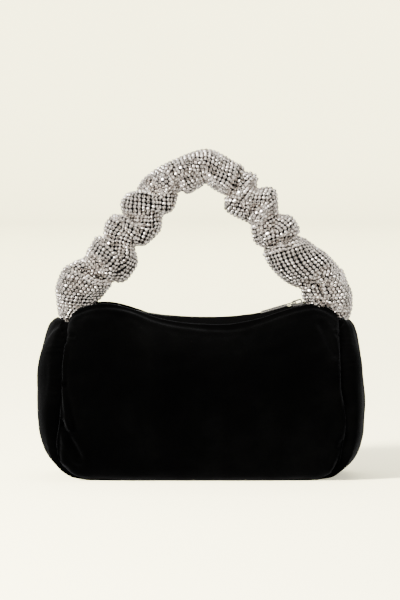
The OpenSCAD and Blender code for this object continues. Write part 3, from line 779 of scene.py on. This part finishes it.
def fold(p, t, a):
    """Lumps and slanting folds on the front and back of the sleeve, leaving its outline alone."""
    n = outward_normals(p)
    x, y, z = p[..., 0], p[..., 1], p[..., 2]
    face = np.abs(np.sin(a)) ** 1.5 * ease(0.02, 0.08, t) * ease(0.98, 0.92, t)
    h = 1.5 * ripple(111, 19, x, y, z) + 0.7 * ripple(112, 10, x, y, z)
    front = ease(0.1, -0.3, np.sin(a))
    xz = xyz(x, z)
    for run in CREASES:
        away = np.full(x.shape, 99.0)
        for b, c in zip(run, run[1:]):
            b, d = np.array(b, float), np.subtract(c, b)
            along = np.clip((xz - b) @ d / (d @ d), 0, 1)
            away = np.minimum(away, np.linalg.norm(xz - b - along[..., None] * d, axis=-1))
        h += front * (1.3 * np.exp(-((away - 5.5) / 2.6) ** 2) - 4.6 * np.exp(-((away / 2.3) ** 2)))
    rng = np.random.default_rng(5)
    for _ in range(30):
        i, j = rng.integers(60, p.shape[0] - 60), rng.integers(0, p.shape[1])
        along = unit(rng.normal(size=3) * [1, 0.3, 1])
        off = p - p[i, j]
        run = off @ along
        side = np.linalg.norm(off - run[..., None] * along, axis=2)
        h = h - (1 - 0.8 * front) * 3.2 * np.exp(-((side / 2.5) ** 2) - (run / 12) ** 2)
    return p + n * (h * face)[..., None]


def outward_normals(p):
    """Unit normals of rings of points, away from each ring's middle."""
    n = normals_of(p, wrap=True)
    middle = p.mean(axis=1, keepdims=True)
    return n * np.where(np.sum(n * (p - middle), axis=2, keepdims=True) < 0, -1, 1)


def resample(p, at):
    """Rows of p at fractional indices."""
    lo = np.clip(at.astype(int), 0, len(p) - 2)
    f = (at - lo).reshape(-1, *[1] * (p.ndim - 1))
    return p[lo] * (1 - f) + p[lo + 1] * f


def lay_net():
    """The net's knots on the outline surface, a pitch apart along its longest side and evenly round each ring."""
    rows, fine = 1000, 240
    T, A = np.meshgrid(np.linspace(0, 1, rows), np.linspace(0, 2 * np.pi, fine, endpoint=False), indexing="ij")
    A = A + 0.7 * np.sin(2 * np.pi * T * 3.2 + 0.6)  # the net winds to and fro
    s = fold(sleeve_surface(T, A), T, A)
    step = np.linalg.norm(np.diff(s, axis=0), axis=2)
    along = np.concatenate([[0], np.cumsum(np.percentile(step, 80, axis=1))])
    s = resample(s, np.interp(np.arange(int(along[-1] / STONE_PITCH)) * STONE_PITCH, along, np.arange(rows)))
    net = []
    for ring in s:
        loop = np.concatenate([ring, ring[:1]])
        around = np.concatenate([[0], np.cumsum(np.linalg.norm(np.diff(loop, axis=0), axis=1))])
        at = np.arange(NET_COLUMNS) / NET_COLUMNS * around[-1]
        net.append(np.stack([np.interp(at, around, loop[:, k]) for k in range(3)], axis=-1))
    return np.array(net)


def relax_net(target, rounds):
    """Lets the knots take up their pitch: spare length buckles inward from the outline surface as gathers."""
    n = outward_normals(target)
    centre = target.mean(axis=1, keepdims=True)
    room = np.maximum(np.linalg.norm(target - centre, axis=2) - CORE_R - 1, 0.5)
    wave = 0.5 + 0.5 * ripple(121, 16, target[..., 0], target[..., 1], target[..., 2])
    p = target - n * (np.minimum(room, 8) * 0.35 * np.clip(wave, 0, 1))[..., None]
    diagonal = math.hypot(STONE_PITCH, ROUND_PITCH)

    def pull(a, b, rest, push, stretch):
        d = b - a
        length = np.maximum(np.linalg.norm(d, axis=-1, keepdims=True), 1e-6)
        gap = length - rest
        move = d / length * gap * np.where(gap > 0, stretch, push) * 0.5
        return a + move, b - move

    for k in range(rounds):
        for start in (0, 1):
            i = np.arange(start, len(p) - 1, 2)
            p[i], p[i + 1] = pull(p[i], p[i + 1], STONE_PITCH, 0.9, 0.9)
            j = np.arange(start, NET_COLUMNS, 2)
            jn = (j + 1) % NET_COLUMNS
            p[:, j], p[:, jn] = pull(p[:, j], p[:, jn], ROUND_PITCH, 0.7, 0.9)
            for shift in (1, -1):
                q = np.roll(p, -shift, axis=1)
                a, b = pull(p[i], q[i + 1], diagonal, 0.12, 0.12)
                p[i] = a
                q[i + 1] = b
                p = np.where(np.isin(np.arange(len(p)), i + 1)[:, None, None], np.roll(q, shift, axis=1), p)
        # Stiffness: each knot leans towards the middle of its neighbours.
        middle = (np.roll(p, 1, axis=1) + np.roll(p, -1, axis=1)) / 2
        lean = 0.16 if k < rounds / 2 else 0.04
        p += lean * (middle - p)
        p[1:-1] += lean * ((p[:-2] + p[2:]) / 2 - p[1:-1])
        off = p - target
        d = np.sum(off * n, axis=2)
        even = (np.roll(d, 1, axis=1) + np.roll(d, -1, axis=1)) / 2
        even[1:-1] = (even[1:-1] + (d[:-2] + d[2:]) / 2) / 2
        goal = np.clip(0.96 * (d + 0.35 * (even - d)), -room, 0.25)
        p += n * (goal - d)[..., None]
        p -= 0.02 * (off - n * d[..., None])
        p[:2] = target[:2]
        p[-2:] = target[-2:]
    return p


def make_handle():
    net = relax_net(lay_net(), RELAX_ROUNDS)
    n = outward_normals(net)
    for axis in (0, 1):
        blur = (np.roll(n, 1, axis=axis) + np.roll(n, -1, axis=axis)) / 2
        if axis == 0:
            blur[0], blur[-1] = n[0], n[-1]
        n = n + blur
    n = unit(n)
    right = (np.roll(net, -1, axis=1) - np.roll(net, 1, axis=1)).reshape(-1, 3)
    ups = n.reshape(-1, 3)
    rights = unit(right - ups * np.sum(right * ups, axis=1, keepdims=True))
    make_stones(net, ups, rights, np.cross(ups, rights))
    make_backing(net, n)


def stone_template():
    """One stone in its cup, centred on the net, in mm: points, faces, and which faces are crystal."""
    k = 8
    a = np.arange(k) * 2 * np.pi / k

    def ring(along, between, z, turn=0.0):
        """A ring that reaches along its net's threads and stops shorter between them."""
        r = (along + between) / 2 + (along - between) / 2 * np.cos(4 * a)
        return xyz(r * np.cos(a + turn), r * np.sin(a + turn), z)

    rings = [ring(1.42, 1.30, -0.1), ring(1.56, 1.44, 0.5), ring(1.32, 1.28, 0.82), ring(0.74, 0.74, 1.4, np.pi / 8)]
    points = np.concatenate(rings)
    faces = grid_faces(3, k, wrap=True)
    shiny = [False] * len(faces)
    for j in range(k):
        b = (j + 1) % k
        faces += [(2 * k + j, 2 * k + b, 3 * k + j), (2 * k + b, 3 * k + b, 3 * k + j)]
        shiny += [True, True]
    return points, faces + [tuple(range(3 * k, 4 * k))], shiny + [True]


def crowded(net, axis, least):
    """Which knots are nearer than this, in mm, to their neighbours along an axis."""
    step = np.linalg.norm(np.roll(net, -1, axis=axis) - net, axis=2)
    return (step + np.roll(step, 1, axis=axis)) / 2 < least


def split_at(z):
    """The first and last of these heights, from the left end over the top to the right, above the split."""
    above = z > SPLIT_Z
    return int(np.argmax(above)), len(z) - 1 - int(np.argmax(above[::-1]))


def bend(ob, below, above, z_lo, z_hi):
    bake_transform(ob, below, above, start=(0, 0, z_lo / 1000), end=(0, 0, z_hi / 1000))


def make_stones(net, ups, rights, forward):
    points, faces, shiny = stone_template()
    rng = np.random.default_rng(17)
    places = net.reshape(-1, 3)
    i, j = np.indices(net.shape[:2])
    # Where the net is bunched so tightly that stones would pass into each other, the hidden ones are left out.
    least = 1.9
    hidden = (crowded(net, 0, least) & (i % 2 == 1)) | (crowded(net, 1, least) & (j % 2 == 1))
    kept = ~(hidden | (crowded(net, 1, least / 2) & (j % 4 == 2))).ravel()
    tilt = rng.normal(0, 0.07, (len(places), 2))
    ups = unit(ups + rights * tilt[:, :1] + forward * tilt[:, 1:])
    rights = unit(np.cross(forward, ups))
    forward = np.cross(ups, rights)
    verts = (places[:, None] + rights[:, None] * points[None, :, :1] + forward[:, None] * points[None, :, 1:2]
             + ups[:, None] * points[None, :, 2:])
    rows = len(places) // NET_COLUMNS
    z = places[:, 2].reshape(rows, NET_COLUMNS).mean(axis=1)
    low = np.repeat(z < SPLIT_Z, NET_COLUMNS)
    left = np.repeat(np.arange(rows) < rows / 2, NET_COLUMNS)
    zones = {
        "left_lower_stones": (low & left, LEG_BEND, ["left_sleeve", "left_sleeve_end"]),
        "right_lower_stones": (low & ~left, LEG_BEND, ["right_sleeve", "right_sleeve_end"]),
        "left_upper_stones": (~low & left, TOP_BEND, []),
        "right_upper_stones": (~low & ~left, TOP_BEND, ["top_sleeve"]),
    }
    for name, (chosen, at, nodes) in zones.items():
        v = verts[chosen & kept]
        f = [tuple(i * len(points) + x for x in face) for i in range(len(v)) for face in faces]
        ob = build(name, v.reshape(-1, 3), f, [CUP, CRYSTAL], smooth=False)
        ob.data.polygons.foreach_set("material_index", np.tile(np.array(shiny, int), len(v)))
        # Painted glints: each stone and each face of it gets a random brightness, standing in for the sparkle of light
        # off the crystal.
        painted_glint = ob.data.attributes.new("painted_glint", "FLOAT", "FACE")
        glint_paint_level = 0.45 * np.repeat(rng.uniform(0, 1, len(v)), len(faces)) + 0.55 * rng.uniform(0, 1, len(f))
        painted_glint.data.foreach_set("value", glint_paint_level.astype(np.float32))
        if nodes:
            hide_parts(*nodes)
        bend(ob, *at)


def make_backing(net, n):
    """The black net that the stones sit on, in the same parts as the stones."""
    s = net - n * 0.2
    # A knot between every two, so that the cloth bends smoothly.
    fine = np.empty((2 * len(s) - 1, NET_COLUMNS, 3))
    fine[::2] = s
    fine[1::2] = (s[1:] + s[:-1]) / 2
    s = np.empty((len(fine), 2 * NET_COLUMNS, 3))
    s[:, ::2] = fine
    s[:, 1::2] = (fine + np.roll(fine, -1, axis=1)) / 2
    columns = s.shape[1]
    z = s[..., 2].mean(axis=1)
    first, last = split_at(z)
    for name, lo, hi, at in (
        ("left_lower_sleeve_net", 0, first + 1, LEG_BEND),
        ("upper_sleeve_net", first, last + 1, TOP_BEND),
        ("right_lower_sleeve_net", last, len(z), LEG_BEND),
    ):
        part = s[lo:hi]
        ob = build(name, part.reshape(-1, 3), grid_faces(len(part), columns, wrap=True, flip=True), NET)
        bend(ob, *at)


def make_cord():
    """The padded cord down the middle of the sleeve."""
    p = ring_frame(np.linspace(*CORD_RUN, 260))[0]
    for k in (0, 2):
        p[:, k] = np.convolve(np.pad(p[:, k], 7, mode="edge"), np.ones(15) / 15, mode="valid")
    first, last = split_at(p[:, 2])
    for name, lo, hi, at in (
        ("left_cord", 0, first + 1, LEG_BEND),
        ("top_cord", first, last + 1, TOP_BEND),
        ("right_cord", last, len(p), LEG_BEND),
    ):
        ob = tube(name + "_core", p[lo:hi], CORD_R, NET, 14)
        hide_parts(name)
        bend(ob, *at)


def make_anchors():
    for name in ("left_anchor", "right_anchor"):
        lo, hi = box_mm(name)
        Y, Z = np.meshgrid(np.linspace(lo[1], hi[1], 14), np.linspace(lo[2], hi[2], 30))
        x = (lo[0] + hi[0]) / 2 + 0.5 + 0.4 * np.sin(Z / 6)
        ob = cloth(name + "_webbing", xyz(x, Y, Z), WEBBING_THICK, TAPE, [1, 0, 0])
        on_bag(ob, "tape", name)


# ---- stage, light and camera

def make_stage():
    m = Nodes("studio_paper", Roughness=0.9, Specular_IOR_Level=0.15, Emission_Color=(1, 0.965, 0.70, 1),
              Emission_Strength=0.72)
    grain = m.add("TexNoise", Vector=m.coords, Scale=3.0, Detail=2.0)
    m.link(m.ramp(grain, (0.3, (0.83, 0.80, 0.70)), (0.7, (0.85, 0.82, 0.72))), "Base Color")
    # A round floor that sweeps up into a wall all the way round.
    flat, sweep, height, steps, columns = 4400, 1200, 7000, 12, 96
    profile = [(1, 0), (flat, 0)]
    for k in range(1, steps + 1):
        a = math.pi / 2 * k / steps
        profile.append((flat + sweep * math.sin(a), sweep * (1 - math.cos(a))))
    profile.append((flat + sweep, height))
    turn = np.linspace(0, 2 * np.pi, columns, endpoint=False)
    verts = [(r * math.cos(a), r * math.sin(a), z) for r, z in profile for a in turn]
    floor = build("studio_sweep", verts, grid_faces(len(profile), columns, wrap=True), m.material)
    floor.visible_glossy = floor.visible_diffuse = False
    return floor


def area_light(name, at, target, size, power, colour, only=None):
    data = bpy.data.lights.new(name, "AREA")
    data.shape, data.size, data.size_y = "RECTANGLE", size[0], size[1]
    data.energy, data.color = power, colour
    ob = bpy.data.objects.new(name, data)
    bpy.context.scene.collection.objects.link(ob)
    ob.location = at
    ob.rotation_euler = (Vector(target) - Vector(at)).to_track_quat("-Z", "Y").to_euler()
    if only:
        group = bpy.data.collections.new(name + "_receivers")
        group.objects.link(only)
        ob.light_linking.receiver_collection = group


def make_light(paper):
    world = bpy.data.worlds.new("studio")
    bpy.context.scene.world = world
    world.use_nodes = True
    tree = world.node_tree
    # Soft boxes and dark gaps all round, for the stones to reflect.
    noise, ramp = tree.nodes.new("ShaderNodeTexNoise"), tree.nodes.new("ShaderNodeValToRGB")
    noise.inputs["Scale"].default_value, noise.inputs["Detail"].default_value = 3.2, 0.5
    tree.links.new(tree.nodes.new("ShaderNodeTexCoord").outputs["Generated"], noise.inputs["Vector"])
    tree.links.new(noise.outputs[0], ramp.inputs[0])
    dark, light = ramp.color_ramp.elements
    dark.position, dark.color = 0.44, (0.08, 0.077, 0.075, 1)
    light.position, light.color = 0.56, (1.0, 0.975, 0.91, 1)
    tree.links.new(ramp.outputs[0], tree.nodes["Background"].inputs[0])
    tree.nodes["Background"].inputs[1].default_value = 1.6
    area_light("key", (-1.7, -1.2, 1.1), (0, 0, 0.12), (0.9, 0.9), 66, (1, 0.985, 0.95))
    area_light("fill", (1.3, -1.9, 1.2), (0, 0, 0.1), (1.2, 1.2), 5, (1, 0.98, 0.95))
    area_light("top", (0.1, 0.3, 1.9), (0, 0, 0.1), (1.4, 1.0), 12, (1, 0.985, 0.95))
    # The paper has lamps of its own, so that it stays pale behind the bag.
    area_light("paper_left", (-2.4, -1.5, 0.95), (0.3, 0.1, 0), (0.5, 0.5), 1450, (1, 0.95, 0.60), paper)
    area_light("paper_top", (0, -0.6, 3.2), (0, 0.7, 0), (3, 2), 70, (1, 0.96, 0.60), paper)
    area_light("paper_back", (0, 2.6, 3.2), (0, 4.7, 0.4), (4, 2), 640, (1, 0.962, 0.50), paper)


def make_camera():
    data = bpy.data.cameras.new("camera")
    cam = bpy.data.objects.new("camera", data)
    bpy.context.scene.collection.objects.link(cam)
    target = Vector((0, 0, 0.1365))
    distance, elevation = 2.4, math.radians(4.0)
    cam.location = target + Vector((0, -math.cos(elevation), math.sin(elevation))) * distance
    cam.rotation_euler = (target - cam.location).to_track_quat("-Z", "Y").to_euler()
    view_height = 0.4632
    data.sensor_width = 36
    data.lens = 36 * distance / view_height
    data.clip_start, data.clip_end = 0.1, 20
    bpy.context.scene.camera = cam


make_light(make_stage())
make_camera()
make_shell()
make_base()
make_lining()
make_end_tabs()
make_zip()
make_hardware()
make_handle()
make_cord()
make_anchors()
